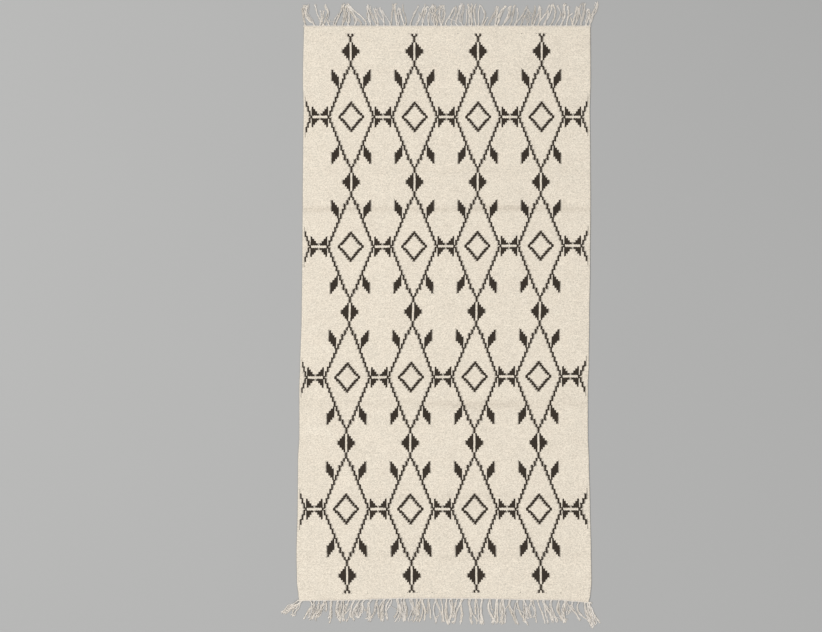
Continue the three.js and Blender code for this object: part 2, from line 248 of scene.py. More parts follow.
# Locks of the near fringe, in the same columns
NEAR_LOCKS = [
    (-352, -372, -391, -405, -415, 32, 3.4, 5),
    (-347, -361, -384, -402, -416, 33, 3.0, 5),
    (-343, -354, -363, -369, -374, 39, 3.0, 4),
    (-326, -321, -330, -338, -345, 46, 1.0, 3),
    (-325, -321, -325, -327.5, -329, 44, 1.2, 2),
    (-313, -315.5, -317, -322, -328, 49, 2.6, 5),
    (-302, -303, -306, -316, -325, 48, 3.8, 5),
    (-290, -294.5, -302, -309, -315, 43, 3.4, 5),
    (-288, -285, -287, -291, -295, 28, 1.0, 3),
    (-273.5, -275.5, -275.5, -279.5, -283, 47, 1.2, 3),
    (-272, -273, -273, -274, -284, 58, 1.6, 3),
    (-258, -260.5, -260, -254.5, -249, 54, 2.4, 5),
    (-257, -256, -256, -255, -256, 46, 3.0, 4),
    (-247, -250, -252, -252, -251, 50, 1.6, 3),
    (-244, -244, -244.5, -245, -247, 54, 1.2, 3),
    (-231, -236.5, -243, -244, -238, 53, 2.4, 4),
    (-218, -225.5, -236, -244, -250, 36, 1.0, 3),
    (-218, -225, -228, -233, -240, 53, 1.3, 4),
    (-217, -223, -226, -224.5, -223, 44, 0.9, 2),
    (-204, -214, -221, -221, -217, 53, 1.2, 4),
    (-204, -211, -214, -211, -209, 46, 2.8, 4),
    (-191, -203, -206, -207, -208, 44, 2.4, 4),
    (-190, -199, -200.5, -208.5, -213, 47, 2.0, 4),
    (-191, -197.5, -190.5, -184, -178, 30, 0.8, 2),
    (-175, -184.5, -183, -183, -194, 53, 2.4, 5),
    (-175, -185, -187, -188, -188, 44, 0.9, 2),
    (-174, -182, -181, -180, -179, 57, 1.0, 2),
    (-160, -167, -169, -177, -188, 51, 1.8, 4),
    (-160, -163.5, -160, -160, -160, 47, 1.2, 3),
    (-144, -155, -160, -160.5, -161, 40, 0.9, 2),
    (-143, -149.5, -151, -150, -148, 55, 2.4, 5),
    (-143, -151, -154.5, -154, -156, 55, 1.0, 2),
    (-130, -139.5, -142.5, -139.5, -141, 53, 1.5, 4),
    (-130, -131.5, -140, -144, -145, 31, 0.9, 2),
    (-114.5, -113.5, -108.5, -112.5, -123, 58, 1.1, 4),
    (-114, -113.5, -113, -120, -129, 51, 1.1, 3),
    (-113, -110, -106, -107, -114, 57, 0.9, 2),
    (-105, -104.5, -102.5, -101, -102, 58, 2.2, 5),
    (-96.5, -97.5, -94, -96, -97, 57, 2.6, 5),
    (-82, -81.5, -73, -69, -68, 41, 1.1, 3),
    (-81, -79, -80, -86, -87, 58, 0.9, 3),
    (-80, -77, -75, -77.5, -84, 58, 1.6, 3),
    (-68.5, -69.5, -69.5, -69.5, -79, 59, 1.1, 3),
    (-68, -66, -65.5, -66, -66, 60, 2.2, 4),
    (-59, -62, -64, -61.5, -60, 44, 2.2, 3),
    (-58, -55, -53.5, -57.5, -60, 60, 1.4, 4),
    (-52, -53, -48.5, -48.5, -50.5, 58, 1.4, 4),
    (-40, -41, -42, -44, -45, 38, 1.1, 3),
    (-39, -38, -35.5, -35.5, -35, 51, 1.3, 3),
    (-21, -26, -28, -24.5, -23.5, 61, 1.2, 4),
    (-22, -20, -12, -9, -5, 41, 1.0, 3),
    (-20, -17, -12.5, -18, -24, 52, 0.9, 2),
    (-10, -7.7, -5.5, -5, 0, 58, 1.0, 4),
    (-10, -8, -6.5, -7, -7, 59, 0.9, 2),
    (4, 2.5, 1.3, 1.8, 7.5, 63, 1.2, 4),
    (4, 4, 4.5, 6, 9, 61, 0.9, 3),
    (15, 12, 15, 12, 10.5, 62, 1.2, 4),
    (15, 17, 16.5, 14, 9, 56, 1.4, 3),
    (29, 24.5, 21, 19, 16, 48, 2.2, 4),
    (43, 36, 28.5, 25.5, 18, 61, 1.3, 4),
    (42, 36.5, 39.5, 39.5, 37.5, 62, 1.3, 4),
    (60, 57.5, 61.5, 61.5, 65, 62, 1.9, 5),
    (61, 58.5, 61, 71.5, 77.5, 63, 0.9, 3),
    (74, 72.3, 73, 73, 73, 41, 1.0, 3),
    (75, 77, 80, 80, 80, 44, 0.9, 2),
    (75, 78, 80, 81, 82.5, 60, 1.0, 2),
    (89, 87, 85.5, 89, 89.5, 63, 1.2, 4),
    (88, 86.5, 85.5, 86.5, 84, 62, 1.6, 4),
    (108, 104, 105.5, 112.5, 112.5, 61, 1.2, 4),
    (108, 104.5, 106.5, 114, 123, 61, 1.0, 3),
    (109, 109.5, 113, 116, 118, 30, 0.9, 2),
    (125, 121.5, 120.5, 118.5, 115, 61, 1.5, 4),
    (125, 125.5, 125, 125, 127.5, 59, 1.6, 4),
    (139, 133, 134, 135.5, 134, 61.5, 1.5, 4),
    (141, 138, 138.5, 137.5, 139, 61.5, 1.8, 4),
    (141, 140.5, 143, 144.5, 143.5, 61, 1.2, 3),
    (158, 153.5, 162, 168.5, 175.5, 61, 1.3, 4),
    (158, 154.5, 157.5, 164.5, 171, 60, 1.1, 3),
    (156, 151, 141, 131, 122, 28, 0.8, 2),
    (175, 174.5, 179.5, 187, 198, 62, 1.3, 4),
    (174, 168.5, 166, 168.5, 171, 41, 0.9, 2),
    (187, 190.5, 190.5, 190, 196, 58, 2.8, 4),
    (188, 194, 196.5, 197, 200, 50, 2.6, 4),
    (206.5, 203.5, 201, 208, 218, 46, 0.9, 3),
    (207, 209.5, 215.5, 212, 204, 46, 1.0, 3),
    (209, 214, 217, 218, 222, 60, 0.8, 2),
    (222, 225.5, 231.5, 237, 239, 58, 1.0, 4),
    (236, 239, 240.5, 245, 244, 60, 1.0, 3),
    (234, 240, 250, 255.5, 262, 55, 2.6, 5),
    (256, 252.5, 258.5, 265, 271, 56, 2.0, 5),
    (255, 254, 255, 259, 260.5, 56, 1.6, 3),
    (272, 269.5, 270.5, 281, 283.5, 57, 1.4, 4),
    (272, 273.5, 275, 280, 284, 52, 2.2, 3),
    (288, 285, 284, 285.5, 292, 54, 3.0, 5),
    (289, 290, 293, 294, 293, 38, 2.2, 3),
    (292, 298, 311.5, 322, 330, 50, 1.1, 4),
    (307, 303, 299.5, 297, 296, 31, 2.2, 4),
    (307, 306, 314, 321, 328, 46, 1.2, 3),
    (322, 317.5, 324, 341, 355, 44.5, 1.2, 4),
    (335, 336, 340, 344.5, 341, 51, 1.7, 5),
    (341, 344, 347.5, 350.5, 353, 62, 3.2, 6),
    (345, 349, 354, 358, 360, 56, 2.8, 5),
    (346, 350, 357.5, 368, 378, 51, 1.6, 5),
]
# Single yarns lying across the locks: start x, start out, end x, end out, bow
FAR_LOOSE = [
    (10, 21, 31, 9, 4),
    (200, 16, 216, 24, -3),
    (207, 34, 225, 25, 5),
    (-196, 12, -187, 21, -4),
    (-281, 13, -268, 10, 4),
    (205, 40, 214, 12, 7),
]
NEAR_LOOSE = [
    (-132, 14, -110, 34, -1),
    (-150, 12, -160, 26, -3),
    (262, 40, 280, 48, 3),
    (-306, 16, -288, 30, 5),
    (172, 20, 192, 34, -4),
    (196, 46, 203, 24, 5),
]

# The two ends: name, then way out, first root, last root and the tables above
ENDS = {
    "far": (1, -339, 351, FAR_EDGE, FAR_LOCKS, FAR_LOOSE, 11),
    "near": (-1, -346, 347, NEAR_EDGE, NEAR_LOCKS, NEAR_LOOSE, 23),
}
ROOT_WIDTH = 7.0
NECK_START = 2.6
NECK_END = 5.5
SPLAY_END = 14.0
NECK_RADIUS = 1.15
NECK_PITCH = 8.0
ROOT_HEIGHT = 2.0
NECK_HEIGHT = 2.1
TWIST_PITCH = 4.5
# The twined row along each end: radius of a strand, its pitch, middle height and how far it lies from
# the cloth
TWINE_RADIUS = 0.85
TWINE_PITCH = 7.5
TWINE_HEIGHT = 2.3
TWINE_OUT = 1.0

# What the camera looks at, in the cloth's own frame
CAMERA_TARGET = (-81.8, -16.3, 4)
CAMERA_SENSOR = 36
FLOOR_REACH = 20
# The lamps, aimed at the middle of the rug: name, place in metres, share of the key light's power, width
LAMPS = [
    ("key_light", (-3.6, 0.8, 5.3), 1.0, 1.8),
    ("side_light", (3.0, -2.6, 5.0), 0.5, 4.0),
]


class ClothSettings(bpy.types.PropertyGroup):
    """Sizes and colours of the woven cloth."""

    thickness: bpy.props.FloatProperty(
        name="Thickness",
        description="Thickness of the woven cloth",
        default=3.7 * MM,
        subtype="DISTANCE",
        unit="LENGTH",
    )
    rim: bpy.props.FloatProperty(
        name="Rim",
        description="How far in the edge is rounded",
        default=2.2 * MM,
        subtype="DISTANCE",
        unit="LENGTH",
    )
    crease: bpy.props.FloatProperty(
        name="Crease depth", description="Scales the depth of the fold lines", default=1.0, subtype="FACTOR"
    )
    waver: bpy.props.FloatProperty(
        name="Waver",
        description="How far hand weaving moves each stitch",
        default=0.22 * MM,
        subtype="DISTANCE",
        unit="LENGTH",
    )
    ground: bpy.props.FloatVectorProperty(
        name="Ground",
        description="Undyed cotton of the ground",
        default=(0.761, 0.694, 0.584),
        subtype="COLOR",
        size=3,
    )
    figure: bpy.props.FloatVectorProperty(
        name="Figure",
        description="Dark cotton of the design",
        default=(0.036, 0.027, 0.019),
        subtype="COLOR",
        size=3,
    )


class FringeSettings(bpy.types.PropertyGroup):
    """Sizes and colour of the fringe yarns."""

    yarn: bpy.props.FloatProperty(
        name="Yarn",
        description="Diameter of a plied warp yarn",
        default=1.55 * MM,
        subtype="DISTANCE",
        unit="LENGTH",
    )
    ply: bpy.props.FloatProperty(
        name="Loose ply",
        description="Diameter of a single loose ply",
        default=0.8 * MM,
        subtype="DISTANCE",
        unit="LENGTH",
    )
    curl: bpy.props.FloatProperty(
        name="Curl",
        description="How far a yarn waves to each side",
        default=1.7 * MM,
        subtype="DISTANCE",
        unit="LENGTH",
    )
    cream: bpy.props.FloatVectorProperty(
        name="Cream",
        description="Creamier yarns of the warp",
        default=(0.76, 0.70, 0.61),
        subtype="COLOR",
        size=3,
    )
    white: bpy.props.FloatVectorProperty(
        name="White",
        description="Whiter yarns of the warp",
        default=(0.78, 0.75, 0.71),
        subtype="COLOR",
        size=3,
    )


class StageSettings(bpy.types.PropertyGroup):
    """The floor, the lights and the camera."""

    floor: bpy.props.FloatVectorProperty(
        name="Floor",
        description="Colour of the plain floor",
        default=(0.40, 0.40, 0.395),
        subtype="COLOR",
        size=3,
    )
    key: bpy.props.FloatProperty(
        name="Key light",
        description="Power of the large soft light",
        default=266.0,
        subtype="POWER",
        unit="POWER",
    )
    fill: bpy.props.FloatProperty(
        name="Surrounding light",
        description="Strength of the even light from all round",
        default=0.37,
        subtype="FACTOR",
    )
    lens: bpy.props.FloatProperty(
        name="Lens", description="Focal length of the camera", default=54.0, subtype="DISTANCE_CAMERA"
    )
    distance: bpy.props.FloatProperty(
        name="Distance",
        description="From the camera to the cloth",
        default=2.984,
        subtype="DISTANCE",
        unit="LENGTH",
    )
    elevation: bpy.props.FloatProperty(
        name="Elevation",
        description="How far above level the camera looks down",
        default=math.radians(87.75),
        subtype="ANGLE",
    )


def smooth_step(low, high, value):
    """0 below low, 1 above high, with an eased change between them."""
    share = np.clip((value - low) / (high - low), 0, 1)
    return share * share * (3 - 2 * share)


def read_table(rows, at, column):
    """A column of a table at some places, eased from row to row."""
    keys = np.array([row[0] for row in rows], float)
    values = np.array([row[column] for row in rows], float)
    at = np.asarray(at, float)
    place = np.clip(np.searchsorted(keys, at) - 1, 0, len(keys) - 2)
    share = np.clip((at - keys[place]) / (keys[place + 1] - keys[place]), 0, 1)
    share = share * share * (3 - 2 * share)
    return values[place] + (values[place + 1] - values[place]) * share


def cloth_shift():
    """How far the cloth's own frame lies from the part's frame, in metres."""
    low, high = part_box("rug_cloth")
    left = min(row[1] for row in SELVEDGES) * MM
    return np.array([low.x - left, high.y - FAR_EDGE[0][1] * MM, 0.0])


def stations(count, step):
    """Chart lines in one direction, with a few more close to each edge for the rounded rim."""
    start = [0.0, 0.07, 0.2, 0.42, 1.0]
    between = list(np.arange(1 + step, count - 1, step))
    return np.array(start + between + [count - s for s in reversed(start)], float)


def chart_to_cloth(columns, rows):
    """Millimetres in the cloth's own frame for a grid of chart lines."""
    chart_rows, *placed = zip(*ROW_PLACES)
    first_y, last_y, middle, spacing = (np.interp(rows, chart_rows, values)[:, None] for values in placed)
    motifs = [column + 0.5 for column in MOTIF_COLUMNS]
    over = np.interp(columns, [motifs[0], motifs[-1]], [0, 1])
    y = first_y + (last_y - first_y) * over
    in_motifs = np.interp(columns, motifs, np.arange(len(motifs)) - (len(motifs) - 1) / 2)
    bounds = [CROSSING_COLUMNS[0], motifs[0], motifs[-1], CROSSING_COLUMNS[1]]
    past_motifs = np.interp(columns, bounds, [-1, 0, 0, 1])
    outer_gap = CROSSING_REACH - spacing * (len(motifs) - 1) / 2
    inner = middle + spacing * in_motifs + outer_gap * past_motifs
    from_left = np.interp(columns, [0, CROSSING_COLUMNS[0]], [0, 1])
    from_right = np.interp(columns, [CROSSING_COLUMNS[1], COLUMNS], [1, 0])

    def across(y):
        left, right = read_table(SELVEDGES, y, 1), read_table(SELVEDGES, y, 2)
        return inner * from_left * from_right + left * (1 - from_left) + right * (1 - from_right)

    past = np.clip((rows - chart_rows[-1]) / (ROWS - chart_rows[-1]), 0, 1)[:, None]
    y = y + (read_table(NEAR_EDGE, across(y), 1) - y) * past
    return across(y), y


def crease_depth(x, y):
    """How deep the fold lines press the cloth, in millimetres."""
    depth = np.zeros_like(x)
    for place, deep, half, slope, middle, spread in CREASES:
        line = place + slope * (x - middle) + 1.8 * np.sin(x / 61 + place)
        along = 0.35 + 0.65 * np.exp(-(((x - middle) / spread) ** 2))
        depth += deep * along * np.exp(-(((y - line) / half) ** 2))
    return depth


def rubbed_share(x, y):
    """How far the pale rubbed patches lighten the cloth, from 0 to 1."""
    share = np.zeros_like(x)
    for place_x, place_y, half_x, half_y, strength in RUBBED:
        patchy = 0.6 + 0.4 * np.sin(x / 5.1) * np.cos(y / 4.3)
        share += strength * patchy * np.exp(-(((x - place_x) / half_x) ** 2) - ((y - place_y) / half_y) ** 2)
    return np.clip(share, 0, 1)


def gentle_swell(x, y):
    """Low unevenness of a cloth that lies loose on the floor, from -1 to 1."""
    swell = np.sin(x / 83 + 1.3) * np.cos(y / 117 + 0.4) + 0.6 * np.sin(x / 41 - y / 67 + 2.1)
    return (swell + 0.4 * np.cos(x / 29 + y / 37)) / 2


def new_mesh_object(name, points, faces):
    """A mesh object from points in metres and faces, smooth shaded."""
    mesh = bpy.data.meshes.new(name)
    mesh.from_pydata(points.tolist(), [], faces)
    mesh.polygons.foreach_set("use_smooth", np.ones(len(mesh.polygons), bool))
    mesh.update()
    made = bpy.data.objects.new(name, mesh)
    bpy.context.scene.collection.objects.link(made)
    return made


def set_uv(mesh, name, places):
    """A UV map that gives every vertex one place."""
    corners = np.empty(len(mesh.loops), np.int32)
    mesh.loops.foreach_get("vertex_index", corners)
    layer = mesh.uv_layers.new(name=name)
    layer.data.foreach_set("uv", places[corners].astype(np.float32).ravel())


def set_attribute(mesh, name, values):
    """A plain number on every vertex."""
    made = mesh.attributes.new(name, "FLOAT", "POINT")
    made.data.foreach_set("value", np.asarray(values, np.float32))


def feed(tree, socket, value):
    """Gives an input a plain value, or links it to a socket or to a Number."""
    source = value.source if isinstance(value, Number) else value
    if isinstance(source, bpy.types.NodeSocket):
        tree.links.new(source, socket)
    else:
        socket.default_value = source


def add_node(tree, kind, feeds=None, **settings):
    """A new node with its settings, whose inputs take values, sockets or Numbers."""
    made = tree.nodes.new(kind)
    for name, value in settings.items():
        setattr(made, name, value)
    for name, value in (feeds or {}).items():
        feed(tree, made.inputs[name], value)
    return made


class Number:
    """A number inside a node tree: sums, products and the like on it add Math nodes."""

    def __init__(self, tree, source):
        self.tree = tree
        self.source = source

    def math(self, operation, *others):
        """The result of a Math node on this number and some others."""
        feeds = dict(enumerate((self, *others)))
        return Number(self.tree, add_node(self.tree, "ShaderNodeMath", feeds, operation=operation).outputs[0])

    def __add__(self, other):
        return self.math("ADD", other)

    def __sub__(self, other):
        return self.math("SUBTRACT", other)

    def __rsub__(self, other):
        return Number(self.tree, other).math("SUBTRACT", self)

    def __mul__(self, other):
        return self.math("MULTIPLY", other)

    def __truediv__(self, other):
        return self.math("DIVIDE", other)

    def floor(self):
        """The whole number below."""
        return self.math("FLOOR")

    def least(self, *others):
        """The least of this number and the others."""
        made = self
        for other in others:
            made = made.math("MINIMUM", other)
        return made


def parts_of(tree, source):
    """The first two parts of a vector."""
    made = add_node(tree, "ShaderNodeSeparateXYZ", {"Vector": source}).outputs
    return Number(tree, made["X"]), Number(tree, made["Y"])


def vector(tree, x, y):
    """A vector from two numbers."""
    return add_node(tree, "ShaderNodeCombineXYZ", {"X": x, "Y": y}).outputs[0]


def noise(tree, place, scale, detail=2.0, rough=0.5):
    """The value of a Noise Texture."""
    feeds = {"Vector": place, "Scale": scale, "Detail": detail, "Roughness": rough}
    return Number(tree, add_node(tree, "ShaderNodeTexNoise", feeds).outputs["Fac"])


def white_noise(tree, x, y):
    """A chance value from 0 to 1 for each pair of whole numbers."""
    feeds = {"Vector": vector(tree, x, y)}
    made = add_node(tree, "ShaderNodeTexWhiteNoise", feeds, noise_dimensions="2D")
    return Number(tree, made.outputs["Value"])


def mix_colour(tree, share, first, second, blend="MIX"):
    """The result of mixing two colours."""
    made = add_node(tree, "ShaderNodeMix", data_type="RGBA", blend_type=blend, clamp_factor=True)
    for number, value in ((0, share), (6, first), (7, second)):
        feed(tree, made.inputs[number], value)
    return made.outputs[2]


def start_group(name, inputs, outputs):
    """An empty node group with named sockets: the group, what comes in and what goes out."""
    group = bpy.data.node_groups.new(name, "ShaderNodeTree")
    for label, kind, default in inputs:
        group.interface.new_socket(label, in_out="INPUT", socket_type=kind).default_value = default
    for label, kind in outputs:
        group.interface.new_socket(label, in_out="OUTPUT", socket_type=kind)
    given = group.nodes.new("NodeGroupInput").outputs
    return group, given, group.nodes.new("NodeGroupOutput").inputs


def flat_weave_group():
    """Weft-faced plain weave: beads of weft in ribs along the warp, half a bead apart from rib to rib."""
    inputs = [
        ("Stitch", "NodeSocketVector", (0, 0, 0)),
        ("Warps", "NodeSocketFloat", 2.0),
        ("Picks", "NodeSocketFloat", 4.0),
        ("Slant", "NodeSocketFloat", 0.18),
        ("Interlock", "NodeSocketFloat", 0.24),
    ]
    outputs = [
        ("Height", "NodeSocketFloat"),
        ("Bead", "NodeSocketFloat"),
        ("Streak", "NodeSocketFloat"),
        ("Groove", "NodeSocketFloat"),
        ("Bead middle", "NodeSocketVector"),
    ]
    tree, given, result = start_group("Flat weave", inputs, outputs)
    u, v = parts_of(tree, given["Stitch"])
    warp = u * given["Warps"]
    rib = warp.floor()
    across = warp.math("FRACT") - 0.5
    odd = rib.math("FLOORED_MODULO", 2.0)
    waver = noise(tree, vector(tree, u, v), 0.35) * 1.2
    pick = v * given["Picks"] + odd * 0.5 + across * given["Slant"] * (1.0 - odd * 2.0) + waver
    number = pick.floor()
    along = pick.math("FRACT") - 0.5
    rib_round = 1.0 - across * across * 4.0
    bead_round = 1.0 - along * along * 4.0
    feed(tree, result["Height"], rib_round * 0.6 + bead_round * 0.4)
    feed(tree, result["Bead"], white_noise(tree, rib, number))
    feed(tree, result["Streak"], noise(tree, vector(tree, u * 0.12, v * 1.6), 1.0, 3.0, 0.7))
    # Groove: a mask for shade painted into the colour between the ribs and between the beads of weft.
    feed(tree, result["Groove"], (1.0 - rib_round) * (1.0 - bead_round * 0.5))
    side = (number.math("FLOORED_MODULO", 2.0) - 0.5) * given["Interlock"]
    middle = vector(tree, (rib + 0.5) / given["Warps"] + side, v - along / given["Picks"])
    feed(tree, result["Bead middle"], middle)
    return tree


def stepped_edge(row, start, step, trim):
    """One edge of a shape of the design, moved by whole squares from row to row."""
    return (row * step + start).floor() + trim if step else start + trim


def lozenge_design_group():
    """The lozenge lattice with its beads, leaves, small lozenges and hourglasses, as a mask of dark yarn."""
    inputs = [("Stitch", "NodeSocketVector", (0, 0, 0))]
    tree, given, result = start_group("Lozenge design", inputs, [("Dark", "NodeSocketFloat")])
    u, v = parts_of(tree, given["Stitch"])
    c = (u - (MOTIF_COLUMNS[0] + 0.5)).math("PINGPONG", COLUMN_REPEAT / 2)
    r = (v - (MOTIF_ROWS[0] + 0.5)).math("PINGPONG", ROW_REPEAT / 2)
    inside = None
    for name, first, last, inner, outer, (early, late), margin in DESIGN:
        near = c - stepped_edge((r + (0.5 + early)).floor(), *inner)
        far = stepped_edge((r + (0.5 - late)).floor(), *outer) - c
        depth = near.least(far, r - (first - 0.5), (last + 0.5) - r)
        if margin:
            depth = depth.least(u - margin, (COLUMNS - margin) - u)
        inside = depth if inside is None else inside.math("MAXIMUM", depth)
    (left, right), (top, bottom) = DESIGN_COLUMNS, DESIGN_ROWS
    inside = inside.least(u - left, right - u, v - top, bottom - v)
    feed(tree, result["Dark"], inside.math("GREATER_THAN", 0.0))
    return tree


def cotton_group():
    """Undyed or dyed cotton: a colour with soft mottling, flecks, tone from yarn to yarn and painted shade in
    the grooves.
    """
    inputs = [
        ("Colour", "NodeSocketColor", (0.8, 0.7, 0.6, 1)),
        ("Place", "NodeSocketVector", (0, 0, 0)),
        ("Yarn tone", "NodeSocketFloat", 0.5),
        ("Streak", "NodeSocketFloat", 0.5),
        ("Groove", "NodeSocketFloat", 0.0),
        ("Yarn contrast", "NodeSocketFloat", 0.1),
        ("Streak contrast", "NodeSocketFloat", 0.1),
        ("Groove contrast", "NodeSocketFloat", 0.3),
        ("Fleck contrast", "NodeSocketFloat", 0.2),
        ("Mottle", "NodeSocketFloat", 0.05),
    ]
    tree, given, result = start_group("Cotton", inputs, [("Colour", "NodeSocketColor")])
    place = given["Place"]
    yarn = Number(tree, given["Yarn tone"]) - 0.5
    streak = Number(tree, given["Streak"]) - 0.5
    fleck = noise(tree, place, 260.0, 2.0, 0.6) - 0.5
    cloud = noise(tree, place, 14.0, 4.0, 0.6) - 0.5
    bright = yarn * given["Yarn contrast"] + streak * given["Streak contrast"]
    bright = bright + fleck * given["Fleck contrast"]
    # Painted shade: the colour is darkened in the grooves by the Groove mask times Groove contrast.
    bright = bright + cloud * given["Mottle"] + 1.0 - Number(tree, given["Groove"]) * given["Groove contrast"]
    scaled = add_node(tree, "ShaderNodeVectorMath", {0: given["Colour"], "Scale": bright}, operation="SCALE")
    warmer = mix_colour(tree, 1.0, scaled.outputs[0], (1.0, 0.972, 0.955, 1), "MULTIPLY")
    warm = noise(tree, place, 38.0, 3.0, 0.6) * 0.9
    feed(tree, result["Colour"], mix_colour(tree, warm, scaled.outputs[0], warmer))
    return tree


def yarn_twist_group():
    """Two plies twisted round each other, from a UV map that runs round and along the yarn."""
    inputs = [("Yarn", "NodeSocketVector", (0, 0, 0)), ("Plies", "NodeSocketFloat", 2.0)]
    outputs = [("Height", "NodeSocketFloat"), ("Groove", "NodeSocketFloat")]
    tree, given, result = start_group("Yarn twist", inputs, outputs)
    around, along = parts_of(tree, given["Yarn"])
    side = ((around * given["Plies"] + along).math("FRACT") * 2.0 - 1.0).math("ABSOLUTE")
    feed(tree, result["Height"], 1.0 - side * side)
    # Groove: a mask for shade painted into the colour where the two plies meet.
    feed(tree, result["Groove"], side.math("POWER", 4.0))
    return tree


def shared_group(name):
    """A shared node group, built the first time that it is asked for."""
    return bpy.data.node_groups.get(name) or GROUP_MAKERS[name]()


GROUP_MAKERS = {
    "Flat weave": flat_weave_group,
    "Lozenge design": lozenge_design_group,
    "Cotton": cotton_group,
    "Yarn twist": yarn_twist_group,
}


def place_group(tree, name, **feeds):
    """A shared node group placed in a material with its own values: its outputs."""
    made = add_node(tree, "ShaderNodeGroup", node_tree=shared_group(name))
    for label, value in feeds.items():
        feed(tree, made.inputs[label.replace("_", " ").capitalize()], value)
    return made.outputs


def start_material(name, roughness, sheen):
    """A material with one Principled shader: the material, its tree and the shader."""
    material = bpy.data.materials.new(name)
    material.use_nodes = True
    tree = material.node_tree
    shader = tree.nodes["Principled BSDF"]
    shader.inputs["Roughness"].default_value = roughness
    shader.inputs["Sheen Weight"].default_value = sheen
    shader.inputs["Sheen Roughness"].default_value = 0.6
    shader.inputs["Specular IOR Level"].default_value = 0.2
    return material, tree, shader


def add_bump(tree, shader, height, strength, distance):
    """Feeds the shader's normal with a bump of that depth in metres."""
    feeds = {"Height": height, "Strength": strength, "Distance": distance}
    feed(tree, shader.inputs["Normal"], add_node(tree, "ShaderNodeBump", feeds).outputs[0])


def attribute(tree, name):
    """A number that the mesh carries."""
    return Number(tree, add_node(tree, "ShaderNodeAttribute", attribute_name=name).outputs["Fac"])


def full(colour):
    """A colour setting with full alpha."""
    return (*colour, 1.0)


def woven_cotton(settings):
    """Material of the cloth: both cottons in one weave, with the design in the dark one."""
    material, tree, shader = start_material("woven_cotton", 0.92, 0.05)
    place = add_node(tree, "ShaderNodeTexCoord").outputs["Object"]
    stitch = add_node(tree, "ShaderNodeUVMap", uv_map="Stitch").outputs[0]
    weave = place_group(tree, "Flat weave", stitch=stitch)
    dark = place_group(tree, "Lozenge design", stitch=weave["Bead middle"])["Dark"]
    cotton = place_group(
        tree,
        "Cotton",
        colour=mix_colour(tree, dark, full(settings.ground), full(settings.figure)),
        place=place,
        yarn_tone=weave["Bead"],
        streak=weave["Streak"],
        groove=weave["Groove"],
        yarn_contrast=0.30,
        streak_contrast=0.22,
        # groove_contrast: how dark the painted shade between the beads of weft is.
        groove_contrast=0.24,
        fleck_contrast=0.32,
        mottle=0.10,
    )["Colour"]
    # Painted shade: along the fold lines the colour is darkened to 0.88 by the crease attribute, for the
    # shade in their troughs.
    painted_crease_shade = mix_colour(tree, 1.0, cotton, (0.88, 0.87, 0.86, 1), "MULTIPLY")
    with_crease_shade = mix_colour(tree, attribute(tree, "crease"), cotton, painted_crease_shade)
    rubbed = mix_colour(tree, 1.0, with_crease_shade, (1.12, 1.13, 1.14, 1), "MULTIPLY")
    feed(tree, shader.inputs["Base Color"], mix_colour(tree, attribute(tree, "rubbed"), with_crease_shade, rubbed))
    add_bump(tree, shader, weave["Height"], 0.7, 0.35 * MM)
    return material


def fringe_cotton(settings):
    """Material of the fringe yarns: twisted undyed cotton."""
    material, tree, shader = start_material("fringe_cotton", 0.9, 0.1)
    along = add_node(tree, "ShaderNodeUVMap", uv_map="Yarn").outputs[0]
    tone = attribute(tree, "yarn_tone")
    twist = place_group(tree, "Yarn twist", yarn=along)
    cotton = place_group(
        tree,
        "Cotton",
        colour=mix_colour(tree, tone, full(settings.cream), full(settings.white)),
        place=add_node(tree, "ShaderNodeTexCoord").outputs["Object"],
        yarn_tone=white_noise(tree, tone * 97.0, 3.0),
        groove=twist["Groove"],
        yarn_contrast=0.36,
        # groove_contrast: how dark the painted shade between the plies is.
        groove_contrast=0.42,
        fleck_contrast=0.30,
        mottle=0.10,
    )["Colour"]
    feed(tree, shader.inputs["Base Color"], cotton)
    add_bump(tree, shader, twist["Height"], 0.8, 0.25 * MM)
    return material


